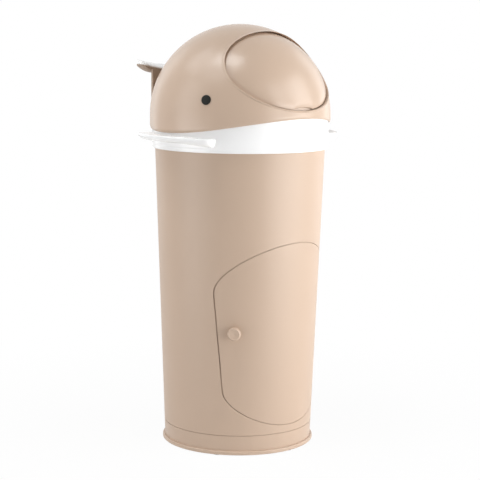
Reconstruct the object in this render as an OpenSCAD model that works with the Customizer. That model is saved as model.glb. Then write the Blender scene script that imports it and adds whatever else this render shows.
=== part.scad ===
// Diaper pail with a hooded flip lid, a tail lever that tips an inner flap, and a bag door.
// Origin on the floor at the body's axis. Front is -Y, up is +Z, millimetres.

/* [Body] */
// Outer radius of the body where it meets the floor plane
foot_r = 125.2; // [120:0.1:130]
// Outer radius of the body at the collar's lower edge
shoulder_r = 143.6; // [141:0.1:144]
// Height of the collar's lower edge
shoulder_z = 501.85; // [480:0.05:520]
// Wall of the body shell
body_wall = 1.6; // [1.2:0.1:2.2]
// Height of the seam between the base cup and the shell
seam_z = 33; // [28:0.5:37]
// Width of that seam
seam_gap = 0.7; // [0.4:0.1:1.2]
// Height of the base cup's spigot inside the shell
spigot_h = 5; // [3:0.5:6]
// How far the foot flange stands out of the body
flange_out = 4.1; // [2:0.1:6]
// Top of the foot flange
flange_top = 7.5; // [6:0.1:10]
// Height of the body above the floor on its pads
pad_show = 0.8; // [0.5:0.1:2]
// Radius of each anti-slip pad
pad_r = 9; // [6:0.5:10]
// Number of anti-slip pads round the foot, besides the one under the floor's middle
pad_count = 6; // [3:1:10]

/* [Door] */
// Half width of the door at the top of its straight sides
door_top_w = 119; // [110:0.5:121]
// Height where the upper curve of the door begins
door_top_z = 274; // [255:1:290]
// Height of that upper curve
door_top_h = 79; // [60:1:90]
// Half width of the door at the bottom of its straight sides
door_low_w = 106.5; // [98:0.5:109]
// Height where the lower curve of the door begins
door_low_z = 112; // [108:1:125]
// Depth of that lower curve
door_low_h = 66; // [50:1:68]
// Gap all round the door
door_gap = 0.9; // [0.8:0.1:1.4]
// Thickness of the door skin
door_skin = 1.3; // [1:0.1:1.3]
// Width that the stop frame shows inside the opening
stop_show = 7; // [5:0.5:10]
// Width of the stop frame behind the wall
stop_hidden = 6; // [4:0.5:7]
// Thickness of the stop frame
stop_t = 2; // [1.5:0.1:3]

/* [Door hinges] */
// Distance of the hinge axis beyond the door's edge
axis_side = 14; // [12:0.5:16]
// Depth of the hinge axis below the outer surface
axis_deep = 6; // [5.5:0.1:6.5]
// Radius of the hinge pin
pin_r = 1.5; // [1.2:0.1:1.8]
// Running clearance of each bore on its pin
run_fit = 0.06; // [0.02:0.01:0.09]
// Width of each gooseneck arm
arm_w = 10; // [8:0.5:14]
// Distance of each hinge from the middle one way and the other
arm_spread = 56; // [45:1:65]
// Thickness of each bracket ear
ear_t = 3; // [2:0.5:4]

/* [Knob] */
// Angle of the knob to the left of the front
knob_angle = 46.8; // [42:0.1:50]
// Height of the knob
knob_z = 207.5; // [150:0.5:250]
// Radius of the knob's head
knob_r = 11.3; // [8:0.1:14]
// How far the knob stands out
knob_out = 12.5; // [9:0.5:16]

/* [Collar] */
// Outer radius of the collar at its lower edge
collar_low_r = 147; // [146.5:0.1:147.5]
// Outer radius of the collar under the hood
collar_r = 149.1; // [148.6:0.1:149.2]
// Wall of the collar
collar_wall = 2.5; // [2:0.1:3]
// Height of the small step above the collar's lower edge
step_h = 6.5; // [4:0.5:9]
// Top of the collar's spigot inside the hood
collar_top = 563; // [561:0.5:565]

/* [Fins] */
// Outer radius of the fins
fin_r = 177.5; // [170:0.5:190]
// Half angle that each fin spans
fin_half = 31; // [24:0.5:36]
// Corner radius of each fin
fin_corner = 14; // [6:0.5:18]
// Underside of the fins at the collar's middle
fin_z = 517.5; // [514:0.5:520]
// Thickness of the fins at the collar
fin_t = 9; // [6:0.5:11]
// Thickness of the fins just inside their outer edge
fin_edge_t = 3.6; // [2.5:0.1:6]
// How much the fins rise towards the back
fin_pitch = 1.9; // [0:0.1:3]

/* [Hood] */
// Outer radius of the hood
hood_r = 152.5; // [152.3:0.1:153.5]
// Height of the hood's centre
hood_z = 556; // [550:0.5:560]
// Wall of the hood
hood_wall = 3; // [2.6:0.1:3.2]
// Lowest point of the hood's curved lower edge
wave_z = 531; // [528:0.5:535]
// Distance of that lowest point behind the axis
wave_y = 26; // [15:1:35]
// Radius of the curve that the lower edge follows, seen from the side
wave_r = 645; // [600:5:800]

/* [Mouth and lid] */
// Half width of the mouth
mouth_w = 107.5; // [100:0.5:109]
// Height where the mouth is widest
mouth_z = 625; // [622:0.5:628]
// Height of the mouth above that line
mouth_up = 71; // [62:0.5:72]
// Depth of the mouth below that line
mouth_down = 55.4; // [50:0.1:56]
// Gap between the lid and the mouth
lid_gap = 1.0; // [0.7:0.1:1.6]
// Outer radius of the lid
lid_r = 140; // [138:0.5:140.5]
// Wall of the lid
lid_wall = 2.6; // [2:0.1:3]
// Depth of the lid's pivot in front of the axis
pivot_y = 62; // [60:0.5:64]
// Height of the lid's pivot
pivot_z = 587; // [585:0.5:589]
// Radius of the pivot pins
pivot_r = 3; // [2:0.1:3.5]
// Distance of the lid's side plates from the middle
plate_x = 104; // [102:0.5:104]
// Radius of the eye caps
eye_r = 8.8; // [7:0.1:11]

/* [Tail and flap] */
// Depth of the tail lever's pivot behind the axis
tail_y = 133; // [132:0.5:134]
// Height of the tail lever's pivot
tail_z = 550; // [549:0.5:551]
// Face width of the quadrants
gear_w = 8; // [6:0.5:12]
// Half width of the tail's upright plate
upright_w = 57; // [40:1:64]
// Half width of the tail's blade
blade_w = 78; // [62:1:90]
// Depth of the blade from front to back
blade_d = 30; // [24:1:40]
// Underside of the blade at its middle
blade_z = 621.5; // [610:0.5:640]
// Thickness of the blade
blade_t = 4; // [3:0.5:6]
// Thickness of the white top on the blade
liner_t = 4.4; // [2:0.1:6]
// Radius of the curve that lifts the blade's tips
blade_r = 150; // [110:5:260]
// Radius of the chute's throat
throat_r = 84; // [76:0.5:86]
// How far the flap reaches past the throat
flap_lap = 5; // [3:0.5:6]

/* [Hidden] */
$fn = 120;
beige = [0.80, 0.68, 0.57];
white = [0.93, 0.94, 0.95];
dark = [0.12, 0.13, 0.13];
steel = [0.72, 0.73, 0.75];
far = 400;
seat = 0.1;
frame_seat = 0.3;
cut_turn = 50;
middle_flat = 5;
middle_lap = 4;

// Radius of the body's cone at a height
function cone_r(z) = foot_r + (shoulder_r - foot_r) * z / shoulder_z;

// Points of an elliptic arc
function arc_pts(cx, cy, rx, ry, a0, a1, n) =
    [for (i = [0:n]) let (a = a0 + (a1 - a0) * i / n) [cx + rx * cos(a), cy + ry * sin(a)]];

// Right half of the door's outline seen from the front, grown by d, with a flat that laps over the middle
function door_half(d) = let (top = door_top_z + door_top_h + d, low = door_low_z - door_low_h - d) concat(
    [[-middle_lap, top], [middle_flat, top]],
    arc_pts(0, door_top_z, door_top_w + d, door_top_h + d, 85, 0, 19),
    arc_pts(0, door_low_z, door_low_w + d, door_low_h + d, 360, 275, 19),
    [[middle_flat, low], [-middle_lap, low]]);

// The same outline on the body's surface, seen along the cut's own direction
function door_cut_pts(d) = [for (p = door_half(d))
    [p[0] * cos(cut_turn) - sqrt(pow(cone_r(p[1]), 2) - p[0] * p[0]) * sin(cut_turn), p[1]]];

// Outline of the mouth seen from the front, grown by d
function mouth_pts(d) = concat(
    arc_pts(0, mouth_z, mouth_w + d, mouth_up + d, 0, 180, 44),
    arc_pts(0, mouth_z, mouth_w + d, mouth_down + d, 184, 356, 42));

// Everything in front of the axis inside an outline
module front_cut(pts) {
    rotate([90, 0, 0]) linear_extrude(height = far) polygon(pts);
}

// The door's outline grown by d, cut nearly square to the curved wall on each side
module door_cut(d) {
    for (m = [0, 1]) mirror([m, 0, 0]) rotate([0, 0, cut_turn]) front_cut(door_cut_pts(d));
}

// A piece drawn in the side view, y across and z up, centred on the middle plane
module side_plate(w) {
    translate([-w / 2, 0, 0]) rotate([90, 0, 90]) linear_extrude(height = w) children();
}

// A band of the body's cone between two depths below its surface
module cone_band(z0, z1, deep0, deep1) {
    rotate_extrude() polygon([
        [cone_r(z0) - deep0, z0], [cone_r(z1) - deep0, z1],
        [cone_r(z1) - deep1, z1], [cone_r(z0) - deep1, z0]]);
}

// Base cup: foot flange, floor and the skin up to the seam
foot_in_r = foot_r - 20;
floor_t = 3;
floor_z = 4;
foot_solid = floor_z + floor_t;
flange_r = foot_r + flange_out;
flange_round = 2.5;
cup_wall = 2.6;
cup_top = seam_z - seam_gap / 2;
pad_ring_r = (foot_in_r + flange_r) / 2 + 1;
pad_pocket = 3;
pad_fit = 0.2;
pad_wall = 2;

module base_cup() {
    color(beige) {
        difference() {
            rotate_extrude() polygon(concat(
                [[0, floor_z], [foot_in_r, floor_z], [foot_in_r, pad_show], [flange_r - 1, pad_show],
                 [flange_r, pad_show + 1]],
                arc_pts(flange_r - flange_round, flange_top - flange_round,
                    flange_round, flange_round, 0, 90, 6),
                [[cone_r(flange_top), flange_top], [cone_r(cup_top), cup_top],
                 [cone_r(cup_top) - body_wall - seat, cup_top],
                 [cone_r(seam_z + spigot_h) - body_wall - seat, seam_z + spigot_h],
                 [cone_r(seam_z + spigot_h) - body_wall - cup_wall, seam_z + spigot_h],
                 [cone_r(foot_solid) - body_wall - cup_wall, foot_solid], [0, foot_solid]]));
            for (i = [0:pad_count - 1])
                rotate([0, 0, (i + 0.5) * 360 / pad_count])
                    translate([pad_ring_r, 0, -1])
                        cylinder(r = pad_r + pad_fit, h = 1 + pad_show + pad_pocket);
        }
        rotate_extrude() polygon([
            [pad_r + pad_fit, pad_show], [pad_r + pad_fit + pad_wall, pad_show],
            [pad_r + pad_fit + pad_wall + 1, floor_z + 0.5], [pad_r + pad_fit, floor_z + 0.5]]);
    }
}

module anti_slip_pads() {
    color(dark) for (i = [0:pad_count - 1])
        rotate([0, 0, (i + 0.5) * 360 / pad_count])
            translate([pad_ring_r, 0, 0]) cylinder(r = pad_r, h = pad_show + pad_pocket - seat);
    color(dark) cylinder(r = pad_r, h = floor_z - seat);
}

// Body shell with the door opening
shell_low = seam_z + seam_gap / 2;
shell_top = shoulder_z + 3.15;

module pail_body() {
    color(beige) difference() {
        cone_band(shell_low, shell_top, 0, body_wall);
        door_cut(door_gap / 2);
    }
}

// Frame behind the opening that stiffens it and stops the door
module door_frame() {
    color(beige) difference() {
        intersection() {
            cone_band(shell_low + spigot_h, door_top_z + door_top_h + 20,
                body_wall + frame_seat, body_wall + frame_seat + stop_t);
            door_cut(stop_hidden);
        }
        door_cut(-stop_show);
        for (s = [-1, 1]) at_hinge(s * arm_spread)
            translate([-12, -24, -arm_w / 2 - ear_t - 2]) cube([40, 40, arm_w + 2 * ear_t + 4]);
    }
}

// Ring that stiffens the shell's mouth and carries the bag ring
rim_t = 3;
rim_flange_t = 2.5;
rim_low = shell_top - 15;
rim_top = shell_top + seat + rim_flange_t;
rim_in_r = cone_r(rim_low) - body_wall - seat - rim_t;

module rim_ring() {
    color(beige) rotate_extrude() polygon([
        [rim_in_r, rim_low], [cone_r(rim_low) - body_wall - seat, rim_low],
        [cone_r(shell_top) - body_wall - seat, shell_top + seat],
        [cone_r(shell_top), shell_top + seat], [cone_r(shell_top), rim_top], [rim_in_r, rim_top]]);
}

// Door hinge axis: parallel to the door's straight right side
function side_x(z) = door_low_w + (door_top_w - door_low_w) * (z - door_low_z) / (door_top_z - door_low_z);
function axis_angle(z) = asin(side_x(z) / cone_r(z)) + axis_side / cone_r(z) * 180 / PI;
function axis_at(z) = let (a = axis_angle(z), r = cone_r(z) - axis_deep) [r * sin(a), -r * cos(a), z];
hinge_low = axis_at(door_low_z);
hinge_high = axis_at(door_top_z);
hinge_mid = (hinge_low + hinge_high) / 2;
hinge_dir = (hinge_high - hinge_low) / norm(hinge_high - hinge_low);
hinge_tilt = acos(hinge_dir[2]);
hinge_turn = atan2(hinge_dir[1], hinge_dir[0]);
hinge_side = atan2(-hinge_mid[0], hinge_mid[1]);

// Local frame on the hinge axis: x along the surface towards the door, y outward
module at_hinge(along) {
    translate(hinge_mid) rotate([0, hinge_tilt, hinge_turn])
        rotate([0, 0, hinge_side - hinge_turn]) translate([0, 0, along]) children();
}

// Solid inside of the body's cone, that deep below its surface
module cone_inside(deep) {
    cylinder(r1 = foot_r - deep, r2 = shoulder_r - deep, h = shoulder_z);
}

pin_head_r = 2.6;
barrel_r = 3.4;
ear_gap = 0.5;
hinge_h = arm_w + 2 * ear_gap + 2 * ear_t;

module hinge_brackets() {
    color(steel) for (s = [-1, 1]) difference() {
        union() {
            intersection() {
                at_hinge(s * arm_spread) translate([-20, -2, -hinge_h / 2]) cube([14, 12, hinge_h]);
                cone_inside(body_wall + seat);
            }
            for (e = [-1, 1])
                at_hinge(s * arm_spread)
                    translate([0, 0, e * (arm_w / 2 + ear_gap + ear_t / 2) - ear_t / 2]) {
                        translate([-9, -2, 0]) cube([9, 2 + barrel_r, ear_t]);
                        cylinder(r = barrel_r, h = ear_t);
                    }
        }
        at_hinge(s * arm_spread) translate([0, 0, -hinge_h]) cylinder(r = pin_r, h = 2 * hinge_h);
    }
}

module hinge_pins() {
    color(steel) for (s = [-1, 1]) at_hinge(s * arm_spread) {
        translate([0, 0, -hinge_h / 2 - 1]) cylinder(r = pin_r, h = hinge_h + 1);
        translate([0, 0, hinge_h / 2 + seat]) cylinder(r = pin_head_r, h = 1.4);
        translate([0, 0, hinge_h / 2 - 0.2]) cylinder(r = pin_r, h = 0.8);
    }
}

neck = 2.2;
goose_deep = 19;
goose_t = 3;
goose_x = 16.5;
goose_flange = 22;
flange_skin = 2.4;

module hinge_arms() {
    color(steel) for (s = [-1, 1]) difference() {
        union() {
            at_hinge(s * arm_spread) translate([0, 0, -arm_w / 2]) cylinder(r = barrel_r, h = arm_w);
            intersection() {
                at_hinge(s * arm_spread) translate([0, 0, -arm_w / 2]) linear_extrude(height = arm_w)
                    polygon([
                        [-neck, 0], [-neck, -goose_deep], [goose_x + goose_t, -goose_deep],
                        [goose_x + goose_t, 8], [goose_x, 8], [goose_x, -goose_deep + goose_t],
                        [neck, -goose_deep + goose_t], [neck, 0]]);
                cone_inside(door_skin + seat);
            }
            intersection() {
                at_hinge(s * arm_spread) translate([goose_x, -16, -arm_w / 2 - 3])
                    cube([goose_flange, 24, arm_w + 6]);
                cone_band(door_low_z - 40, door_top_z + 40,
                    door_skin + seat, door_skin + seat + flange_skin);
            }
        }
        at_hinge(s * arm_spread) translate([0, 0, -arm_w]) cylinder(r = pin_r + run_fit, h = 2 * arm_w);
    }
}

// Door skin, flush with the body
module door_panel() {
    color(beige) difference() {
        intersection() {
            cone_band(door_low_z - door_low_h - 5, door_top_z + door_top_h + 5, 0, door_skin);
            door_cut(-door_gap / 2);
        }
        at_knob() translate([0, 0, -10]) cylinder(r = knob_bolt_r + 0.1, h = 20);
    }
}

// Local frame on the body's surface at the knob, z outward
module at_knob() {
    rotate([0, 0, -knob_angle]) translate([0, -cone_r(knob_z), knob_z]) rotate([90, 0, 0]) children();
}

knob_bolt_r = 2;
knob_neck_r = 6.5;

module door_knob() {
    color(beige) at_knob() rotate_extrude() polygon(concat(
        [[knob_bolt_r + seat, 0.35], [knob_neck_r + 1, 0.35], [knob_neck_r, 3], [knob_r - 2.2, 4.6]],
        arc_pts(knob_r - 2.6, 7.2, 2.6, 2.6, -60, 60, 6),
        arc_pts(0, knob_out - 3, knob_r - 2, 3, 15, 90, 6),
        [[0, knob_out - 4], [knob_bolt_r + seat, knob_out - 4]]));
}

module knob_screw() {
    color(steel) at_knob() {
        translate([0, 0, -door_skin - 2.2]) cylinder(r = 3.8, h = 2.1 - seat);
        translate([0, 0, -door_skin - 0.5]) cylinder(r = knob_bolt_r, h = knob_out - 4 + door_skin);
    }
}

// Magnetic catch on the latch side, at the stop frame's inner edge
catch_z = 255;
catch_h = 34;
catch_w = 12;
catch_gap = 0.3;
catch_angle = asin((side_x(catch_z) - stop_show) / cone_r(catch_z));
catch_deep = body_wall + frame_seat + stop_t + seat;

module at_catch() {
    rotate([0, 0, -catch_angle]) translate([0, -cone_r(catch_z), catch_z]) children();
}

module strike_plate() {
    color(steel) intersection() {
        at_catch() translate([2.5, -2, -catch_h / 2]) cube([catch_w, 12, catch_h]);
        cone_band(catch_z - catch_h, catch_z + catch_h, door_skin + seat, catch_deep - catch_gap);
    }
}

module magnet_case() {
    color(dark) difference() {
        intersection() {
            at_catch() translate([-10, -2, -catch_h / 2]) cube([catch_w + 13, 15, catch_h]);
            cone_inside(catch_deep);
        }
        at_catch() translate([4, -2, -catch_h / 2 + 4]) cube([catch_w - 3, 12, catch_h - 8]);
    }
}

module catch_magnet() {
    color(steel) intersection() {
        at_catch() translate([4 + seat, -2, -catch_h / 2 + 4 + seat])
            cube([catch_w - 3 - 2 * seat, 12 - seat, catch_h - 8 - 2 * seat]);
        cone_inside(catch_deep);
    }
}

// Bag ring and the band that holds the bag on it
ring_low_z = rim_top + 0.3;
ring_t = 2.5;
ring_in_r = 127;
ring_skirt = 38;
band_r = 2;

module bag_ring() {
    color(white) rotate_extrude() polygon([
        [ring_in_r, ring_low_z - ring_skirt], [ring_in_r + ring_t, ring_low_z - ring_skirt],
        [ring_in_r + ring_t, ring_low_z], [shoulder_r - 1, ring_low_z],
        [shoulder_r - 1, ring_low_z + ring_t], [ring_in_r, ring_low_z + ring_t]]);
}

module bag_band() {
    color(dark) translate([0, 0, ring_low_z - ring_skirt + 8]) rotate_extrude()
        translate([ring_in_r + ring_t + band_r + seat, 0]) circle(r = band_r, $fn = 24);
}

// Collar: the white band with its fins, the ledge that rests on the bag ring, and a spigot
gasket_gap = 0.3;
gasket_t = 1.9;
ledge_low = ring_low_z + ring_t + gasket_gap + gasket_t + seat;
ledge_t = 2.5;
ledge_top = ledge_low + ledge_t;
ledge_in_r = 132;
collar_in_r = collar_r - collar_wall;

// Fin outline seen from above, drawn in from its edge by d
module fin_outline(d) {
    turn = asin(fin_corner / (fin_r - fin_corner));
    intersection() {
        union() {
            intersection() { circle(r = fin_r - d); wedge(fin_half - turn); }
            intersection() { circle(r = fin_r - fin_corner); wedge_in(fin_half, d); }
            for (s = [-1, 1]) rotate([0, 0, s * (fin_half - turn)])
                translate([fin_r - fin_corner, 0]) circle(r = fin_corner - d, $fn = 48);
        }
        difference() { circle(r = fin_r + 1); circle(r = collar_in_r + 1); }
    }
}

// A wedge of the plane about +X
module wedge(half) {
    polygon([[0, 0], [far * cos(half), -far * sin(half)], [far * cos(half), far * sin(half)]]);
}

// The same wedge with its sides moved in by d
module wedge_in(half, d) {
    translate([d / sin(half), 0]) wedge(half);
}

// Height and inset of each layer of the fin's rounded edge, as shares of its thickness
fin_layers = [[1, 0.62], [0.86, 0.34], [0.7, 0.16], [0.54, 0.06], [0.34, 0]];

// The fin's section, which thins from the collar to a rounded edge
module fin_section() {
    edge = fin_edge_t / 2;
    polygon(concat(
        [[collar_in_r + 1, -fin_t / 2], [collar_r + 2, -fin_t / 2]],
        arc_pts(fin_r - edge, 0, edge, edge, -80, 80, 10),
        [[collar_r + 2, fin_t / 2], [collar_in_r + 1, fin_t / 2]]));
}

module fin() {
    translate([0, 0, fin_z + fin_t / 2]) rotate([fin_pitch, 0, 0]) intersection() {
        for (l = fin_layers)
            translate([0, 0, -fin_t * l[0] / 2]) linear_extrude(height = fin_t * l[0])
                fin_outline(fin_t * l[1]);
        rotate_extrude($fn = 360) fin_section();
    }
}

module collar() {
    color(white) difference() {
        union() {
            rotate_extrude() polygon([
                [collar_low_r, shoulder_z], [collar_low_r + 0.7, shoulder_z + 1.2],
                [collar_low_r + 0.9, shoulder_z + step_h], [collar_low_r + 1.5, shoulder_z + step_h + 1],
                [collar_r, shoulder_z + 3 * step_h], [collar_r, collar_top - 2], [collar_r - 1, collar_top],
                [collar_in_r, collar_top], [collar_in_r, ledge_top], [ledge_in_r, ledge_top],
                [ledge_in_r, ledge_low], [collar_in_r - 0.5, ledge_low],
                [collar_low_r - collar_wall, shoulder_z]]);
            for (m = [0, 1]) mirror([m, 0, 0]) fin();
        }
        slot_cut(slot_low, collar_top + 1);
        translate([-housing_half - 0.4, 118, ledge_low - 1])
            cube([2 * housing_half + 0.8, collar_in_r - 118 - 0.5, ledge_t + 2]);
        head_holes(screw_r + 0.25, collar_in_r - 2, collar_r + 1);
    }
}

// Slot in the back that the tail lever passes through
arm_half = 9;
slot_low = 524;
slot_high = 559;

module slot_cut(z0, z1) {
    translate([-arm_half - 1.5, collar_in_r - 12, z0]) cube([2 * arm_half + 3, 40, z1 - z0]);
}

// Screws that join the hood to the collar's spigot, from inside
screw_r = 1.5;
screw_z = 558.5;
screw_count = 6;

module head_holes(r, r0, r1) {
    for (i = [0:screw_count - 1]) rotate([0, 0, i * 360 / screw_count])
        translate([r0, 0, screw_z]) rotate([0, 90, 0]) cylinder(r = r, h = r1 - r0, $fn = 32);
}

module head_screws() {
    color(steel) {
        head_holes(screw_r, collar_in_r - 0.3, hood_r - 1.1);
        head_holes(2 * screw_r, collar_in_r - 1.6, collar_in_r - 0.2);
    }
}

module head_gasket() {
    color(dark) difference() {
        translate([0, 0, ring_low_z + ring_t + gasket_gap]) cylinder(r = shoulder_r - 1.6, h = gasket_t);
        translate([0, 0, ring_low_z]) cylinder(r = ledge_in_r + 2, h = 4 * ring_t);
    }
}

// Hood: a dome on a short skirt, cut along the wave below and by the mouth in front
module hood_solid(r) {
    intersection() {
        translate([0, 0, hood_z]) sphere(r = r);
        translate([-far / 2, -far / 2, hood_z]) cube([far, far, far]);
    }
    translate([0, 0, hood_z - 40]) cylinder(r = r, h = 40);
}

hood_in = hood_r - hood_wall;
pin_y = -pivot_y;
boss_x = 114;
boss_r = 7;

module at_pivots() {
    for (m = [0, 1]) mirror([m, 0, 0]) translate([0, pin_y, pivot_z]) rotate([0, 90, 0]) children();
}

module dome() {
    color(beige) difference() {
        union() {
            intersection() {
                difference() {
                    hood_solid(hood_r);
                    hood_solid(hood_in);
                    translate([0, 0, hood_z - 60]) cylinder(r = hood_in, h = 30);
                }
                translate([-far / 2, wave_y, wave_z + wave_r]) rotate([0, 90, 0])
                    cylinder(r = wave_r, h = far, $fn = 720);
            }
            intersection() {
                at_pivots() translate([0, 0, boss_x]) cylinder(r = boss_r, h = 30);
                hood_solid(hood_r - 1);
            }
        }
        front_cut(mouth_pts(0));
        at_pivots() translate([0, 0, boss_x - 1]) cylinder(r = pivot_r, h = pin_far - boss_x + 1.5);
        slot_cut(hood_z - 41, slot_high);
        head_holes(screw_r, hood_in - 1, hood_r - 1);
    }
}

// Pivot pins of the lid, pressed into the hood's bosses
pin_near = 103.7;
pin_far = 131;

module pivot_pins() {
    color(steel) at_pivots() {
        translate([0, 0, pin_near]) cylinder(r = pivot_r, h = pin_far - pin_near);
        translate([0, 0, pin_near - 1.6]) cylinder(r = pivot_r + 2, h = 1.6);
    }
}

// Round black eye caps over the pivots
eye_x = sqrt(pow(hood_r, 2) - pow(pivot_z - hood_z, 2) - pow(pivot_y, 2));
eye_turn = atan2(pivot_y, eye_x);
eye_rise = asin((pivot_z - hood_z) / hood_r);
eye_out = 2;

module eye_caps() {
    color(dark) for (m = [0, 1]) mirror([m, 0, 0]) intersection() {
        translate([0, 0, hood_z]) rotate([0, 0, -eye_turn]) rotate([0, 90 - eye_rise, 0])
            translate([0, 0, hood_r - 4]) cylinder(r = eye_r, h = 10);
        translate([0, 0, hood_z]) difference() {
            sphere(r = hood_r + eye_out);
            sphere(r = hood_r + seat);
        }
    }
}

// Lid: a rounder cap inside the mouth, with side plates that reach the pivots
lid_y = -12.25;
lid_z = 559.7;
plate_t = 3;
lid_back = 34;
hub_x = boss_x - 0.5;

module lid_ball(r) {
    translate([0, lid_y, lid_z]) sphere(r = r);
}

module visor_lid() {
    color(beige) difference() {
        union() {
            intersection() {
                difference() {
                    lid_ball(lid_r);
                    lid_ball(lid_r - lid_wall);
                }
                translate([0, -lid_back, 0]) front_cut(mouth_pts(-lid_gap));
            }
            intersection() {
                for (m = [0, 1]) mirror([m, 0, 0]) translate([plate_x, 0, 0]) rotate([90, 0, 90])
                    linear_extrude(height = plate_t) polygon([
                        [pin_y - 3, pivot_z - 8], [pin_y - 24, pivot_z + 20], [pin_y - 30, pivot_z + 53],
                        [pin_y - 1, pivot_z + 53], [pin_y + 8.5, pivot_z + 3]]);
                lid_ball(lid_r - 1);
            }
            at_pivots() translate([0, 0, plate_x]) cylinder(r = 9, h = plate_t);
            at_pivots() translate([0, 0, plate_x]) cylinder(r = boss_r, h = hub_x - plate_x);
        }
        at_pivots() translate([0, 0, plate_x - 1]) cylinder(r = pivot_r + run_fit, h = 20);
        front_cut(grip_pts(0));
    }
}

// Finger recess at the lid's lower edge
grip_w = 23;
grip_h = 5;
grip_z = mouth_z - mouth_down + 0.5;
function grip_pts(d) = arc_pts(0, grip_z, grip_w + d, grip_h + d, 0, 354, 59);

module lid_grip() {
    color(beige) intersection() {
        difference() {
            lid_ball(lid_r - lid_wall - seat);
            lid_ball(lid_r - lid_wall - seat - 2);
        }
        front_cut(grip_pts(4));
        front_cut(mouth_pts(-lid_gap));
    }
}

// Chute: a funnel on a skirt that stands on the collar's ledge
chute_r = 143.5;
chute_t = 2.5;
chute_top = 548;
throat_top = 516;
throat_low = 509.7;
housing_half = 17.2;
housing_wall = 3.2;

ring_rim = 3;

// Room for the gear housing in the chute and its ring
module housing_cut() {
    translate([-housing_half - 0.3, throat_r - 6, throat_low - 1])
        cube([2 * housing_half + 0.6, 80, chute_top]);
}

// Height of the funnel's upper face at a radius
function funnel_z(r) =
    throat_top + (chute_top - throat_top) * (r - throat_r) / (chute_r - 2 * chute_t - throat_r);

module chute() {
    bore = throat_r + chute_t + seat;
    color(white) difference() {
        rotate_extrude() polygon([
            [chute_r - chute_t, ledge_top + seat], [chute_r, ledge_top + seat], [chute_r, chute_top],
            [chute_r - 2 * chute_t, chute_top], [bore, funnel_z(bore)], [bore, throat_top - 1],
            [chute_r - chute_t, chute_top - 1.5 * chute_t]]);
        housing_cut();
    }
}

// Ring pressed into the chute's bore, whose lower rim the flap closes against
module throat_ring() {
    ring_r = throat_r + chute_t;
    color(white) difference() {
        rotate_extrude() polygon([
            [throat_r, throat_low], [ring_r, throat_low], [ring_r, throat_top - 3.4],
            [ring_r + ring_rim, throat_top - 3.4], [ring_r + ring_rim, throat_top - 1 - seat],
            [ring_r, throat_top - 1 - seat], [ring_r, funnel_z(ring_r)], [throat_r, throat_top]]);
        housing_cut();
    }
}

// Quadrant gears, as flat outlines in the side view: module, and teeth on a full circle
gear_m = 2.5;
lever_teeth = 24;
flap_teeth = 16;
gear_a = gear_m * (lever_teeth + flap_teeth) / 2;
shaft_back = 13.645;
flap_r = throat_r + flap_lap;
flap_y = throat_r + shaft_back;
mesh_dir = 180 + acos((tail_y - flap_y) / gear_a);
flap_z = tail_z + gear_a * sin(mesh_dir);
pressure = 20;
backlash = 0.5;
function involute(rb, r) = let (a = acos(min(1, rb / r))) tan(a) * 180 / PI - a;
function half_tooth(n, r) = let (rp = gear_m * n / 2, rb = rp * cos(pressure))
    90 / n - backlash / 4 / rp * 180 / PI + involute(rb, rp) - involute(rb, max(r, rb));

module tooth(n) {
    rp = gear_m * n / 2;
    root = rp - 1.25 * gear_m;
    rb = max(root, rp * cos(pressure));
    tip = rp + 0.95 * gear_m;
    flank = [for (i = [0:4]) rb + (tip - rb) * i / 4];
    polygon(concat(
        [[root - 1, -tan(half_tooth(n, rb)) * (root - 1)]],
        [for (r = flank) [r * cos(half_tooth(n, r)), -r * sin(half_tooth(n, r))]],
        [for (i = [4:-1:0]) let (r = flank[i]) [r * cos(half_tooth(n, r)), r * sin(half_tooth(n, r))]],
        [[root - 1, tan(half_tooth(n, rb)) * (root - 1)]]));
}

// A quadrant with teeth first to last, tooth zero lying on the start direction
module quadrant(n, start, first, last, hub, shaft) {
    root = gear_m * (n / 2 - 1.25);
    step = 360 / n;
    difference() {
        union() {
            intersection() {
                circle(r = root);
                rotate(start + (first + last) * step / 2) wedge((last - first) * step / 2 + step * 0.4);
            }
            for (k = [first:last]) rotate(start + k * step) tooth(n);
            circle(r = hub, $fn = 48);
        }
        circle(r = shaft, $fn = 48);
    }
}

shaft_r = 3;
hub_r = 9;
flap_hub_r = 5.5;

module lever_quadrant() {
    color(white) {
        side_plate(gear_w) translate([tail_y, tail_z])
            quadrant(lever_teeth, mesh_dir, -1, 3, hub_r, shaft_r + run_fit);
        translate([gear_w / 2 - 0.5, tail_y, tail_z]) rotate([0, 90, 0]) difference() {
            cylinder(r = spring_r - spring_wire - 0.3, h = spring_len + 1);
            translate([0, 0, -1]) cylinder(r = shaft_r + run_fit, h = spring_len + 4);
        }
    }
}

module flap_quadrant() {
    color(white) side_plate(gear_w) translate([flap_y, flap_z])
        quadrant(flap_teeth, mesh_dir - 180 + 180 / flap_teeth, -4, 0, flap_hub_r + 2, shaft_r);
}

module flap_shaft() {
    color(steel) side_plate(2 * (housing_half + 7)) translate([flap_y, flap_z]) circle(r = shaft_r);
}

module tail_pin() {
    color(steel) side_plate(2 * housing_half - 0.4) translate([tail_y, tail_z]) circle(r = shaft_r);
}

// Housing round the quadrants: two cheeks joined by a front and a roof
cheek_low = flap_z - 8.65;
cheek_top = tail_z + 19;
cheek_back = tail_y + 11;

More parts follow.
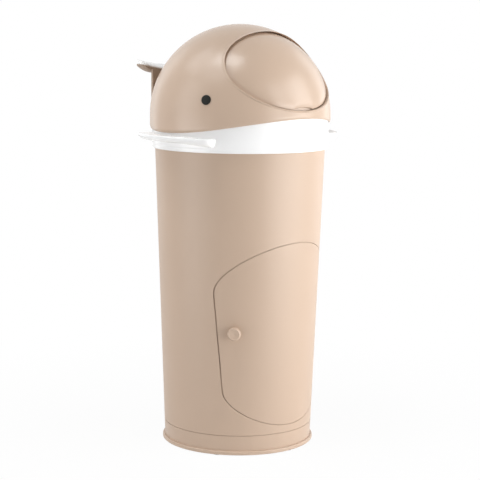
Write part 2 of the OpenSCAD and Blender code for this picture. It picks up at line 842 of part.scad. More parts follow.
module gear_housing() {
    color(white) difference() {
        side_plate(2 * housing_half) difference() {
            polygon([
                [throat_r - 5, cheek_low + 5.5], [throat_r - 5, throat_top + 20],
                [flap_y - 3.6, tail_z + 10], [tail_y - 24, cheek_top],
                [cheek_back, cheek_top], [cheek_back, ledge_top + 1],
                [ledge_in_r - 2, ledge_top + 1], [flap_y + 20.4, cheek_low], [flap_y - 5.6, cheek_low],
                [throat_r + 2.7, cheek_low + 5.5]]);
            translate([flap_y, flap_z]) circle(r = shaft_r + run_fit);
            translate([tail_y, tail_z]) circle(r = shaft_r);
        }
        side_plate(2 * (housing_half - housing_wall)) polygon([
            [throat_r - 2, cheek_low - 6], [throat_r - 2, throat_top + 19], [flap_y - 1.1, tail_z + 7.5],
            [tail_y - 23, cheek_top - housing_wall], [cheek_back + 6, cheek_top - housing_wall],
            [cheek_back + 6, cheek_low - 6]]);
    }
}

// Torsion spring beside the lever's quadrant, one round wire tube
spring_wire = 0.8;
spring_r = 7;
spring_turns = 3;
spring_x = gear_w / 2 + 1.6;
spring_pitch = 2.2;
spring_len = spring_turns * spring_pitch + 0.8;

module return_spring() {
    color(steel) for (k = [0:spring_turns - 1])
        translate([spring_x + k * spring_pitch, tail_y, tail_z]) rotate([0, 90, 0])
            rotate_extrude() translate([spring_r, 0]) circle(r = spring_wire, $fn = 16);
}

// Tail lever: hub, arm, upright plate and a blade with lifted tips
upright_y = 160;
upright_t = 5;
upright_low = 548;

module blade_outline(d) {
    w = blade_w - d;
    f = upright_y + d;
    b = upright_y + blade_d - d;
    notch = 9;
    polygon(concat(
        [[-upright_w + d, f], [upright_w - d, f]],
        arc_pts(w - 16, f + 14, 16, 14, -60, 90, 8),
        [[w * 0.45, b - 1], [0, b - notch], [-w * 0.45, b - 1]],
        arc_pts(-w + 16, f + 14, 16, 14, 90, 240, 8)));
}

module blade_band(out, in) {
    translate([0, 0, blade_z + blade_r]) rotate([90, 0, 0]) difference() {
        translate([0, 0, -far]) cylinder(r = blade_r - out, h = far);
        translate([0, 0, -far - 1]) cylinder(r = blade_r - in, h = far + 2);
    }
}

module tail_lever() {
    color(beige) difference() {
        union() {
            side_plate(2 * arm_half) {
                translate([tail_y, tail_z]) circle(r = hub_r - 0.5);
                translate([tail_y, tail_z - 4]) square([upright_y + 2 - tail_y, 10]);
            }
            translate([0, upright_y + upright_t, 0]) rotate([90, 0, 0]) linear_extrude(height = upright_t)
                difference() {
                    union() {
                        translate([-upright_w, upright_low + 12]) square([2 * upright_w, 90]);
                        translate([-upright_w + 12, upright_low]) square([2 * upright_w - 24, 20]);
                        for (s = [-1, 1]) translate([s * (upright_w - 12), upright_low + 12]) circle(r = 12);
                    }
                    translate([0, blade_z + blade_r]) circle(r = blade_r - 1, $fn = 240);
                    translate([-far, blade_z + 25]) square([2 * far, far]);
                }
            intersection() {
                blade_band(0, blade_t);
                translate([0, 0, blade_z - 5]) linear_extrude(height = 60) blade_outline(0);
            }
        }
        side_plate(4 * arm_half) translate([tail_y, tail_z]) circle(r = shaft_r + run_fit);
        side_plate(gear_w + 0.2) translate([tail_y, tail_z]) circle(r = hub_r + 0.3);
        translate([0, tail_y, tail_z]) rotate([0, 90, 0]) cylinder(r = hub_r + 1, h = 20);
    }
}

module fluke_liner() {
    color(white) intersection() {
        blade_band(blade_t + seat, blade_t + seat + liner_t);
        translate([0, 0, blade_z - 5]) linear_extrude(height = 60) blade_outline(0.4);
    }
}

// Trap flap under the throat
flap_top = 509;
flap_t = 2.4;
flap_arm_x = housing_half + 0.8;
flap_arm_t = 5;

module trap_flap() {
    color(beige) {
        difference() {
            union() {
                translate([0, 0, flap_top - flap_t]) cylinder(r = flap_r, h = flap_t);
                translate([0, 0, flap_top - flap_t - 3]) difference() {
                    cylinder(r = flap_r - 18, h = 4);
                    translate([0, 0, -1]) cylinder(r = flap_r - 20.5, h = 6);
                }
            }
            translate([-housing_half - 0.6, throat_r - 7, flap_top - 20])
                cube([2 * housing_half + 1.2, 60, 40]);
        }
        for (m = [0, 1]) mirror([m, 0, 0]) translate([flap_arm_x, 0, 0]) rotate([90, 0, 90])
            linear_extrude(height = flap_arm_t) difference() {
                union() {
                    translate([flap_y, flap_z]) circle(r = flap_hub_r);
                    polygon([
                        [flap_r - 29, flap_top - flap_t - 3], [flap_r - 29, flap_top - 1],
                        [flap_r - 4, flap_top - 1], [flap_y - 3, flap_z + 3], [flap_y + 4.5, flap_z - 3],
                        [flap_r + 1, flap_top - flap_t - 3]]);
                }
                translate([flap_y, flap_z]) circle(r = shaft_r);
            }
    }
}

module flap_seal() {
    color(dark) difference() {
        translate([0, 0, flap_top]) cylinder(r = throat_r + 2.4, h = 0.4);
        translate([0, 0, flap_top - 1]) cylinder(r = throat_r - 3, h = 4);
        translate([-housing_half - 0.6, throat_r - 7, flap_top - 20]) cube([2 * housing_half + 1.2, 60, 40]);
    }
}

base_cup();
pail_body();
door_frame();
rim_ring();
anti_slip_pads();
hinge_brackets();
hinge_pins();
magnet_case();
catch_magnet();
bag_ring();
bag_band();
door_panel();
hinge_arms();
strike_plate();
door_knob();
knob_screw();
collar();
dome();
chute();
throat_ring();
head_gasket();
pivot_pins();
eye_caps();
gear_housing();
tail_pin();
return_spring();
head_screws();
visor_lid();
lid_grip();
tail_lever();
fluke_liner();
lever_quadrant();
trap_flap();
flap_seal();
flap_shaft();
flap_quadrant();
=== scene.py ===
import bpy
import bmesh
import math
from mathutils import Matrix, Vector


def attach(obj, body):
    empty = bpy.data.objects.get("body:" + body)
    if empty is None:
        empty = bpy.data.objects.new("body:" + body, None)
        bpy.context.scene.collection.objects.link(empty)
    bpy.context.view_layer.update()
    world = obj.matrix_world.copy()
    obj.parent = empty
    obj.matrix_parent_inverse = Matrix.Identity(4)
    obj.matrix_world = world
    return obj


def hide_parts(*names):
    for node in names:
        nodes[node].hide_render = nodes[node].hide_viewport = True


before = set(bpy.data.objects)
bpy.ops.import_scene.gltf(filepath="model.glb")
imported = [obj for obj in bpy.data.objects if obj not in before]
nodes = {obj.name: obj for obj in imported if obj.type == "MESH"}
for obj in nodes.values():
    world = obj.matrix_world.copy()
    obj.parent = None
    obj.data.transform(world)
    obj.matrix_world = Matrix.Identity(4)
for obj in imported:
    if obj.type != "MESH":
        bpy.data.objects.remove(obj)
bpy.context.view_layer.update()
scene = bpy.context.scene

# camera: metres, degrees and millimetres of lens
camera = {
    "lens": 110.0,
    "sensor": 36.0,
    "distance": 2.483,     # level distance from the pail's axis
    "height": 0.6893,
    "azimuth": -44.0,
    "pitch": 7.942,
    "roll": 0.525,
    "yaw": 0.035,
    "clipNear": 0.05,
    "clipFar": 60.0,
}


def makeCamera(c):
    turn = Matrix.Rotation(math.radians(c["azimuth"]), 3, "Z")
    yaw, pitch, roll = (math.radians(c[k]) for k in ("yaw", "pitch", "roll"))
    level = Vector((math.sin(yaw), math.cos(yaw), 0))
    flat = Vector((math.cos(yaw), -math.sin(yaw), 0))
    ahead = level * math.cos(pitch) - Vector((0, 0, math.sin(pitch)))
    above = level * math.sin(pitch) + Vector((0, 0, math.cos(pitch)))
    right = flat * math.cos(roll) + above * math.sin(roll)
    up = above * math.cos(roll) - flat * math.sin(roll)
    axes = Matrix((turn @ right, turn @ up, turn @ -ahead)).transposed().to_4x4()
    place = turn @ Vector((0, -c["distance"], c["height"]))
    data = bpy.data.cameras.new("viewCamera")
    data.lens = c["lens"]
    data.sensor_width = c["sensor"]
    data.sensor_fit = "HORIZONTAL"
    data.clip_start = c["clipNear"]
    data.clip_end = c["clipFar"]
    obj = bpy.data.objects.new("viewCamera", data)
    obj.matrix_world = Matrix.Translation(place) @ axes
    scene.collection.objects.link(obj)
    scene.camera = obj
    return turn


viewTurn = makeCamera(camera)
print("camera placed")

# studio
studio = {
    "ambient": 0.02,
    "floorSize": 16.0,
    "floorFade": (0.15, 0.9, 0.95, 1.0),    # near, far in metres; share of plain white at each
    "floorColour": 0.86,
}

# lamps of four shapes: side is along the picture, near is towards the camera; metres and watts
tallShape = {"up": 0.85, "wide": 0.6, "tall": 1.7, "aim": 0.4}
highShape = {"up": 1.9, "wide": 0.8, "tall": 0.8, "aim": 0.55}
keyShape = {"up": 1.985, "wide": 0.6, "tall": 0.45, "aim": 0.6}
lowShape = {"up": 0.2, "wide": 1.0, "tall": 0.35, "aim": 0.2}
lamps = {
    "leftFar": {**tallShape, "side": -1.69, "near": 0.453, "power": 5.2},
    "leftBox": {**tallShape, "side": -1.516, "near": 0.875, "power": 4.3},
    "rightNear": {**tallShape, "side": 1.237, "near": 1.237, "power": 8.5},
    "rightBox": {**tallShape, "side": 1.516, "near": 0.875, "power": 3.5},
    "rightFar": {**tallShape, "side": 1.69, "near": 0.453, "power": 10.7},
    "sideBox": {**tallShape, "side": 1.75, "near": 0, "power": 10.7},
    "highBox": {**highShape, "side": -1, "near": 0, "power": 5.4},
    "highNear": {**highShape, "side": -0.707, "near": 0.707, "power": 4.5},
    "keyBox": {**keyShape, "side": -0.333, "near": 0.389, "power": 6.9},
    "backRight": {**tallShape, "side": 1.237, "near": -1.237, "power": 3.5},
    "backLeft": {**tallShape, "side": -1.237, "near": -1.237, "power": 2.5},
    "lowLeft": {**lowShape, "side": -1.299, "near": 0.75, "power": 4.3},
    "lowRight": {**lowShape, "side": 1.299, "near": 0.75, "power": 6.6},
}


def makeLamp(name, s):
    data = bpy.data.lights.new(name, "AREA")
    data.shape = "RECTANGLE"
    data.size = s["wide"]
    data.size_y = s["tall"]
    data.energy = s["power"]
    obj = bpy.data.objects.new(name, data)
    place = viewTurn @ Vector((s["side"], -s["near"], s["up"]))
    look = Vector((0, 0, s["aim"])) - place
    obj.location = place
    obj.rotation_euler = look.to_track_quat("-Z", "Y").to_euler()
    scene.collection.objects.link(obj)


# 1 for rays that should meet the plain white background
def seenRays(tree):
    ray = tree.nodes.new("ShaderNodeLightPath")
    seen = ray.outputs["Is Camera Ray"]
    for label in ("Is Glossy Ray", "Is Transmission Ray"):
        either = tree.nodes.new("ShaderNodeMath")
        either.operation = "MAXIMUM"
        tree.links.new(seen, either.inputs[0])
        tree.links.new(ray.outputs[label], either.inputs[1])
        seen = either.outputs[0]
    return seen


def makeWorld(s):
    world = bpy.data.worlds.new("whiteRoom")
    scene.world = world
    world.use_nodes = True
    tree = world.node_tree
    tree.nodes.clear()
    out = tree.nodes.new("ShaderNodeOutputWorld")
    mix = tree.nodes.new("ShaderNodeMixShader")
    room = tree.nodes.new("ShaderNodeBackground")     # lights the pail
    white = tree.nodes.new("ShaderNodeBackground")    # is seen
    for shade, strength in ((room, s["ambient"]), (white, 1.0)):
        shade.inputs["Color"].default_value = (1, 1, 1, 1)
        shade.inputs["Strength"].default_value = strength
    tree.links.new(seenRays(tree), mix.inputs[0])
    tree.links.new(room.outputs[0], mix.inputs[1])
    tree.links.new(white.outputs[0], mix.inputs[2])
    tree.links.new(mix.outputs[0], out.inputs["Surface"])


def makeFloor(s):
    mesh = bpy.data.meshes.new("floor")
    bm = bmesh.new()
    bmesh.ops.create_grid(bm, x_segments=1, y_segments=1, size=s["floorSize"] / 2)
    bm.to_mesh(mesh)
    bm.free()
    floor = bpy.data.objects.new("floor", mesh)
    scene.collection.objects.link(floor)
    mat = bpy.data.materials.new("paleFloor")
    mat.use_nodes = True
    tree = mat.node_tree
    tree.nodes.clear()
    out = tree.nodes.new("ShaderNodeOutputMaterial")
    paint = tree.nodes.new("ShaderNodeBsdfDiffuse")
    paint.inputs["Color"].default_value = (s["floorColour"],) * 3 + (1,)
    glow = tree.nodes.new("ShaderNodeEmission")
    glow.inputs["Strength"].default_value = 1.0
    reach = tree.nodes.new("ShaderNodeVectorMath")
    reach.operation = "LENGTH"
    tree.links.new(tree.nodes.new("ShaderNodeTexCoord").outputs["Object"], reach.inputs[0])
    fade = tree.nodes.new("ShaderNodeMapRange")   # how much of the plain white the seen floor has
    fade.interpolation_type = "SMOOTHSTEP"
    for label, value in zip(("From Min", "From Max", "To Min", "To Max"), s["floorFade"]):
        fade.inputs[label].default_value = value
    tree.links.new(reach.outputs["Value"], fade.inputs["Value"])
    share = tree.nodes.new("ShaderNodeMath")
    share.operation = "MULTIPLY"
    tree.links.new(fade.outputs["Result"], share.inputs[0])
    mix = tree.nodes.new("ShaderNodeMixShader")
    tree.links.new(seenRays(tree), share.inputs[1])
    tree.links.new(share.outputs[0], mix.inputs[0])
    tree.links.new(paint.outputs[0], mix.inputs[1])
    tree.links.new(glow.outputs[0], mix.inputs[2])
    tree.links.new(mix.outputs[0], out.inputs["Surface"])
    mesh.materials.append(mat)


scene.view_settings.view_transform = "Standard"
makeWorld(studio)
makeFloor(studio)
for lampName, lampSizes in lamps.items():
    makeLamp(lampName, lampSizes)
print("studio lit")

# shared surface effects: noise scales are per metre
effects = {
    "fineDetail": 2.0, "slowScale": 45.0, "slowDetail": 1.0,
    "sheenScale": 9.0, "sheenDetail": 3.0,
    "tintScale": 5.0, "tintDetail": 2.0,
}


def newGroup(name, inputs, outputs):
    group = bpy.data.node_groups.new(name, "ShaderNodeTree")
    for label, kind, value in inputs:
        socket = group.interface.new_socket(label, in_out="INPUT", socket_type=kind)
        if value is not None:
            socket.default_value = value
    for label, kind in outputs:
        group.interface.new_socket(label, in_out="OUTPUT", socket_type=kind)
    return group, group.nodes.new("NodeGroupInput"), group.nodes.new("NodeGroupOutput")


def mathNode(tree, operation, first, second):
    node = tree.nodes.new("ShaderNodeMath")
    node.operation = operation
    for i, value in enumerate((first, second)):
        if isinstance(value, (int, float)):
            node.inputs[i].default_value = value
        else:
            tree.links.new(value, node.inputs[i])
    return node.outputs[0]


def noiseNode(tree, vector, scale, detail):
    node = tree.nodes.new("ShaderNodeTexNoise")
    node.inputs["Detail"].default_value = detail
    tree.links.new(vector, node.inputs["Vector"])
    if isinstance(scale, (int, float)):
        node.inputs["Scale"].default_value = scale
    else:
        tree.links.new(scale, node.inputs["Scale"])
    return node.outputs["Fac"]


# fine moulded or coated texture, with a slower ripple under it
def makeGrainGroup(s):
    group, inn, out = newGroup(
        "surfaceGrain",
        [("Vector", "NodeSocketVector", None), ("Scale", "NodeSocketFloat", 900.0),
         ("Ripple", "NodeSocketFloat", 0.4)],
        [("Height", "NodeSocketFloat")])
    fine = noiseNode(group, inn.outputs["Vector"], inn.outputs["Scale"], s["fineDetail"])
    slow = noiseNode(group, inn.outputs["Vector"], s["slowScale"], s["slowDetail"])
    ripple = mathNode(group, "MULTIPLY", slow, inn.outputs["Ripple"])
    total = mathNode(group, "ADD", fine, ripple)
    group.links.new(total, out.inputs["Height"])
    return group


# roughness that varies a little where hands and cloths have been
def makeSheenGroup(s):
    group, inn, out = newGroup(
        "handledSheen",
        [("Vector", "NodeSocketVector", None), ("Roughness", "NodeSocketFloat", 0.4),
         ("Spread", "NodeSocketFloat", 0.05)],
        [("Roughness", "NodeSocketFloat")])
    wide = noiseNode(group, inn.outputs["Vector"], s["sheenScale"], s["sheenDetail"])
    centred = mathNode(group, "SUBTRACT", wide, 0.5)
    spread = mathNode(group, "MULTIPLY", centred, inn.outputs["Spread"])
    total = mathNode(group, "ADD", inn.outputs["Roughness"], spread)
    group.links.new(total, out.inputs["Roughness"])
    return group


# a colour that drifts slightly over the surface
def makeTintGroup(s):
    group, inn, out = newGroup(
        "tintDrift",
        [("Vector", "NodeSocketVector", None), ("Colour", "NodeSocketColor", (1, 1, 1, 1)),
         ("Drift", "NodeSocketFloat", 0.03)],
        [("Colour", "NodeSocketColor")])
    wide = noiseNode(group, inn.outputs["Vector"], s["tintScale"], s["tintDetail"])
    centred = mathNode(group, "SUBTRACT", wide, 0.5)
    drift = mathNode(group, "MULTIPLY", centred, inn.outputs["Drift"])
    value = mathNode(group, "ADD", drift, 1.0)
    hue = group.nodes.new("ShaderNodeHueSaturation")
    group.links.new(value, hue.inputs["Value"])
    group.links.new(inn.outputs["Colour"], hue.inputs["Color"])
    group.links.new(hue.outputs["Color"], out.inputs["Colour"])
    return group


groups = {"grain": makeGrainGroup(effects), "sheen": makeSheenGroup(effects), "tint": makeTintGroup(effects)}

# finishes: grain is per metre, depth in metres; a finish has plastic's index of refraction and, unless it says
# otherwise, the usual specular level
beige = (0.538, 0.404, 0.308)
shell = {"colour": beige, "grain": 1900, "ripple": 0.3, "drift": 0.02}
finishes = {
    "satinCoat": {**shell, "level": 0.35, "rough": 0.42, "spread": 0.05, "grain": 1300, "ripple": 0.6,
                  "depth": 0.000014},
    "glossPlastic": {**shell, "level": 0.45, "rough": 0.27, "spread": 0.0, "depth": 0.000006},
    "satinPlastic": {**shell, "level": 0.4, "rough": 0.38, "spread": 0.05, "depth": 0.000012},
    # the tail's finish is the same beige darkened to about seven tenths: painted shade for the tail lying in the
    # dome's shadow
    "tailPaintedShade": {**shell, "colour": (0.385, 0.287, 0.217), "level": 0.35, "rough": 0.4, "spread": 0.0,
                    "depth": 0.000012},
    "whitePlastic": {"colour": (0.92, 0.92, 0.92), "rough": 0.2, "spread": 0.04, "grain": 1500, "ripple": 0.5,
                     "depth": 0.000004, "drift": 0.01},
    "innerWhite": {"colour": (0.78, 0.78, 0.77), "rough": 0.42, "spread": 0.06, "grain": 1500, "ripple": 0.4,
                   "depth": 0.000014, "drift": 0.03},
    "blackCap": {"colour": (0.017, 0.018, 0.016), "level": 0.12, "rough": 0.4, "spread": 0.05, "grain": 2000,
                 "ripple": 0.2, "depth": 0.000008, "drift": 0.05},
    "blackRubber": {"colour": (0.035, 0.035, 0.036), "rough": 0.7, "spread": 0.1, "grain": 1400, "ripple": 0.4,
                    "depth": 0.00003, "drift": 0.1},
    "zincSteel": {"colour": (0.62, 0.63, 0.65), "rough": 0.33, "spread": 0.12, "grain": 2200, "ripple": 0.3,
                  "depth": 0.00001, "drift": 0.08, "metal": 1.0},
}
usual = {"ior": 1.5, "level": 0.5, "metal": 0.0}


def makeFinish(name, s):
    mat = bpy.data.materials.new(name)
    mat.use_nodes = True
    tree = mat.node_tree
    tree.nodes.clear()
    out = tree.nodes.new("ShaderNodeOutputMaterial")
    shader = tree.nodes.new("ShaderNodeBsdfPrincipled")
    for label, key in (("Metallic", "metal"), ("IOR", "ior"), ("Specular IOR Level", "level")):
        shader.inputs[label].default_value = s.get(key, usual[key])
    where = tree.nodes.new("ShaderNodeTexCoord").outputs["Object"]

    def placed(key, **values):
        node = tree.nodes.new("ShaderNodeGroup")
        node.node_tree = groups[key]
        tree.links.new(where, node.inputs["Vector"])
        for label, value in values.items():
            node.inputs[label].default_value = value
        return node.outputs[0]

    tree.links.new(placed("tint", Colour=s["colour"] + (1,), Drift=s["drift"]), shader.inputs["Base Color"])
    tree.links.new(placed("sheen", Roughness=s["rough"], Spread=s["spread"]), shader.inputs["Roughness"])
    bump = tree.nodes.new("ShaderNodeBump")
    bump.inputs["Strength"].default_value = 1.0
    bump.inputs["Distance"].default_value = s["depth"]
    tree.links.new(placed("grain", Scale=s["grain"], Ripple=s["ripple"]), bump.inputs["Height"])
    tree.links.new(bump.outputs["Normal"], shader.inputs["Normal"])
    tree.links.new(shader.outputs[0], out.inputs["Surface"])
    return mat


materials = {name: makeFinish(name, s) for name, s in finishes.items()}

nodeFinish = {
    "satinCoat": "pail_body door_panel door_frame",
    "satinPlastic": "base_cup rim_ring",
    "innerWhite": "bag_ring chute throat_ring gear_housing lever_quadrant flap_quadrant trap_flap",
    "blackCap": "magnet_case",
    "blackRubber": "anti_slip_pads bag_band head_gasket flap_seal",
    "zincSteel": "hinge_brackets hinge_pins hinge_arms strike_plate knob_screw pivot_pins tail_pin return_spring"
                 " head_screws flap_shaft catch_magnet",
}
for finishName, members in nodeFinish.items():
    for member in members.split():
        mesh = nodes[member].data
        mesh.materials.clear()
        mesh.materials.append(materials[finishName])
print("finishes applied")

# helpers for the pieces: all sizes below are millimetres, and a piece is scaled to metres at its end
build = {
    "scale": 0.001, "weld": 0.002, "sharp": 35.0,
    "roundSides": 64, "bevelSteps": 3, "bevelProfile": 0.5, "cornerShare": 0.4,
}


# grid whose points go where place says, for shares 0 to 1 across and along; it closes where they meet
def warpedGrid(across, along, place):
    bm = bmesh.new()
    bmesh.ops.create_grid(bm, x_segments=across, y_segments=along, size=0.5)
    for vert in bm.verts:
        vert.co = place(vert.co.x + 0.5, vert.co.y + 0.5)
    bmesh.ops.remove_doubles(bm, verts=bm.verts, dist=build["weld"])
    return bm


# makes the object of a piece, which rides on a body and stands for solids of the frame
def finishPiece(name, bm, body, finish, stands):
    bmesh.ops.scale(bm, vec=(build["scale"],) * 3, verts=bm.verts)
    bmesh.ops.recalc_face_normals(bm, faces=bm.faces)
    mesh = bpy.data.meshes.new(name)
    bm.to_mesh(mesh)
    bm.free()
    mesh.shade_smooth()
    mesh.set_sharp_from_angle(angle=math.radians(build["sharp"]))
    mesh.materials.append(materials[finish])
    piece = bpy.data.objects.new(name, mesh)
    scene.collection.objects.link(piece)
    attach(piece, body)
    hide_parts(*stands)
    print(name, len(mesh.polygons), "faces")


# adds a closed copy of another bmesh
def addTo(bm, other):
    mesh = bpy.data.meshes.new("part")
    other.to_mesh(mesh)
    other.free()
    bm.from_mesh(mesh)
    bpy.data.meshes.remove(mesh)


# rounds the edges of the many-sided faces
def bevelRims(bm, size):
    rims = [e for e in bm.edges if any(len(f.verts) > 4 for f in e.link_faces)]
    bmesh.ops.bevel(bm, geom=rims, offset=size, offset_type="OFFSET", affect="EDGES", segments=build["bevelSteps"],
                    profile=build["bevelProfile"], material=-1)


def cylinderPart(radius, start, end, sides=build["roundSides"]):
    bm = bmesh.new()
    start, end = Vector(start), Vector(end)
    turn = (end - start).to_track_quat("Z", "Y").to_matrix().to_4x4()
    bmesh.ops.create_cone(
        bm, cap_ends=True, segments=sides, radius1=radius, radius2=radius, depth=(end - start).length,
        matrix=Matrix.Translation((start + end) / 2) @ turn)
    return bm


# prism of a flat outline, between there and a step away
def prismPart(corners, step):
    bm = bmesh.new()
    face = bm.faces.new([bm.verts.new(corner) for corner in corners])
    made = bmesh.ops.extrude_face_region(bm, geom=[face])
    moved = [v for v in made["geom"] if isinstance(v, bmesh.types.BMVert)]
    bmesh.ops.translate(bm, vec=step, verts=moved)
    bmesh.ops.recalc_face_normals(bm, faces=bm.faces)
    return bm


# takes the inside of a closed cutter out of a piece
def cutAway(bm, cutter):
    target = bpy.data.meshes.new("target")
    bm.to_mesh(target)
    tool = bpy.data.meshes.new("tool")
    bmesh.ops.recalc_face_normals(cutter, faces=cutter.faces)
    cutter.to_mesh(tool)
    cutter.free()
    work = bpy.data.objects.new("target", target)
    knife = bpy.data.objects.new("tool", tool)
    scene.collection.objects.link(work)
    scene.collection.objects.link(knife)
    step = work.modifiers.new("cut", "BOOLEAN")
    step.operation = "DIFFERENCE"
    step.solver = "EXACT"
    step.object = knife
    graph = bpy.context.evaluated_depsgraph_get()
    result = bpy.data.meshes.new_from_object(work.evaluated_get(graph))
    bm.clear()
    bm.from_mesh(result)
    bpy.data.objects.remove(work)
    bpy.data.objects.remove(knife)
    for mesh in (target, tool, result):
        bpy.data.meshes.remove(mesh)


def boxPart(low, high):
    bm = bmesh.new()
    bmesh.ops.create_cube(bm, size=1.0)
    low, high = Vector(low), Vector(high)
    bmesh.ops.scale(bm, vec=high - low, verts=bm.verts)
    bmesh.ops.translate(bm, vec=(low + high) / 2, verts=bm.verts)
    return bm


# quarter turn between a wall and a face, as shares 0 to 1 in and down
def quarter(steps):
    turns = [math.pi / 2 * k / steps for k in range(steps + 1)]
    return [(1 - math.sin(t), 1 - math.cos(t)) for t in turns]


# point of a turned shape
def turnedPoint(share, radius, height):
    turn = 2 * math.pi * share
    return Vector((radius * math.cos(turn), radius * math.sin(turn), height))


# front point at x, z of a ball whose centre is on the pail's axis
def ballPoint(x, z, radius, centre):
    return Vector((x, -math.sqrt(radius ** 2 - x ** 2 - (z - centre) ** 2), z))


# hood: a dome whose lower edge follows a wave and rolls in, with a raised rim round the mouth
hood = {
    "radius": 152.5, "centre": 556.0, "wall": 3.0,
    "mouthHalf": 107.5, "mouthMid": 625.0, "mouthUp": 71.0, "mouthDown": 55.4, "mouthEdge": 2.0,
    "rimRise": 1.5, "rimRound": 1.5, "rimWide": 4.2, "rimRows": 4, "lipRows": 6, "fan": 1.2,
    "waveLow": 531.0, "waveBack": 26.0, "waveRadius": 645.0,
    "lipUp": 7.0, "lipIn": 2.4,
    "around": 240, "outerRows": 60, "innerRows": 30,
    "slot": [(-10.5, 120.0, 500.0), (10.5, 180.0, 559.0)],
    "pivotY": -62.0, "pivotZ": 587.0, "bossNear": 114.0, "bossFar": 130.0, "bossRadius": 7.0,
}


# point on the mouth's edge, seen from the front, for a share 0 to 1 of the way round from the lowest point
def mouthPoint(s, share, less=0.0):
    turn = 2 * math.pi * share - math.pi / 2
    tall = s["mouthUp"] if math.sin(turn) > 0 else s["mouthDown"]
    return (s["mouthHalf"] - less) * math.cos(turn), s["mouthMid"] + (tall - less) * math.sin(turn)


# direction in which the column that starts there meets the hood's base
def baseTurn(s, share):
    half = 2 * share if share <= 0.5 else 2 - 2 * share
    turn = math.pi * (half ** s["fan"] - 0.5)
    return turn if share <= 0.5 else math.pi - turn


def waveHeight(s, y):
    return s["waveLow"] + s["waveRadius"] - math.sqrt(s["waveRadius"] ** 2 - (y - s["waveBack"]) ** 2)


# point on the hood: span 0 to 1 from mouth to lip plus millimetres from either end, at a depth in the wall
def hoodPoint(s, share, span, off, depth, inward):
    radius = s["radius"] - depth
    x, z = mouthPoint(s, share)
    start = ballPoint(x, z - s["centre"], radius, 0) / radius
    turn = baseTurn(s, share)
    base = Vector((math.cos(turn), math.sin(turn), 0))
    arc = start.angle(base)
    drop = max(0.0, s["centre"] - waveHeight(s, s["radius"] * base.y))
    length = radius * arc + drop
    way = span * length + off
    if way < radius * arc:
        part = way / radius
        spot = (start * math.sin(arc - part) + base * math.sin(part)) / math.sin(arc) * (radius - inward)
    else:
        spot = base * (radius - inward) - Vector((0, 0, way - radius * arc))
    return spot + Vector((0, 0, s["centre"]))


def makeHood(s):
    edge, wall = s["mouthEdge"], s["wall"]
    rise, near, far = s["rimRise"], s["rimRound"], s["rimWide"]
    rows = [(0, near * a, (edge + rise) * b - rise, 0) for a, b in reversed(quarter(s["rimRows"]))]
    for k in range(1, s["rimRows"] + 1):
        part = k / s["rimRows"]
        rows.append((0, near + (far - near) * part, -rise * (1 + math.cos(math.pi * part)) / 2, 0))
    for k in range(1, s["outerRows"]):
        part = k / s["outerRows"]
        rows.append((part, far * (1 - part) - s["lipUp"] * part, 0, 0))
    for up, inn in quarter(s["lipRows"]):
        rows.append((1, -s["lipUp"] * up, 0, s["lipIn"] * inn))
    for k in range(s["innerRows"] + 1):
        rows.append((1 - k / s["innerRows"], 0, wall, 0))
    rows.append((0, 0, (wall + edge) / 2, 0))
    rows.append(rows[0])
    count = len(rows) - 1

    def place(u, v):
        return hoodPoint(s, u % 1.0, *rows[round(v * count)])

    bm = warpedGrid(s["around"], count, place)
    cutAway(bm, boxPart(*s["slot"]))
    for side in (-1, 1):
        addTo(bm, cylinderPart(s["bossRadius"], (side * s["bossNear"], s["pivotY"], s["pivotZ"]),
                               (side * s["bossFar"], s["pivotY"], s["pivotZ"])))
    finishPiece("hoodShell", bm, "head", "glossPlastic", ["dome"])


makeHood(hood)

# lid: a cap on the hood's ball that sinks towards its edge, with a finger notch below and plates on the pivots
lid = {
    "gap": 0.7, "edge": 1.0, "wall": 2.6, "edgeSink": 3.2, "sinkPower": 7.0, "rimDepth": 6.5, "rimWall": 2.0,
    "around": 240, "rows": 34, "edgeRows": 5,
    "notchHalf": 23.0, "notchUp": 5.0, "notchZ": 570.1,
    "plateX": 104.0, "plateThick": 3.0, "hubRadius": 9.0, "hubFar": 113.5, "hubSmall": 7.0, "bore": 3.06, "past": 1.0,
    "plate": [(-65.0, 579.0), (-77.0, 604.0), (-74.0, 620.0), (-69.0, 630.0), (-53.5, 590.0)],
}


def lidOutline(s, share, less):
    x, z = mouthPoint(hood, share, s["gap"] + less)
    reach = s["notchHalf"] + less
    if z < hood["mouthMid"] and abs(x) < reach:
        z = max(z, s["notchZ"] + (s["notchUp"] + less) * math.sqrt(1 - (x / reach) ** 2))
    return x, z


# point on the lid: fill 0 to 1 from the middle to the edge, less millimetres at the edge, a depth below the ball
def lidPoint(s, share, fill, less, depth):
    x, z = lidOutline(s, share, less)
    x, z = x * fill, hood["mouthMid"] + (z - hood["mouthMid"]) * fill
    radius = hood["radius"] - depth - s["edgeSink"] * fill ** s["sinkPower"]
    return ballPoint(x, z, radius, hood["centre"])


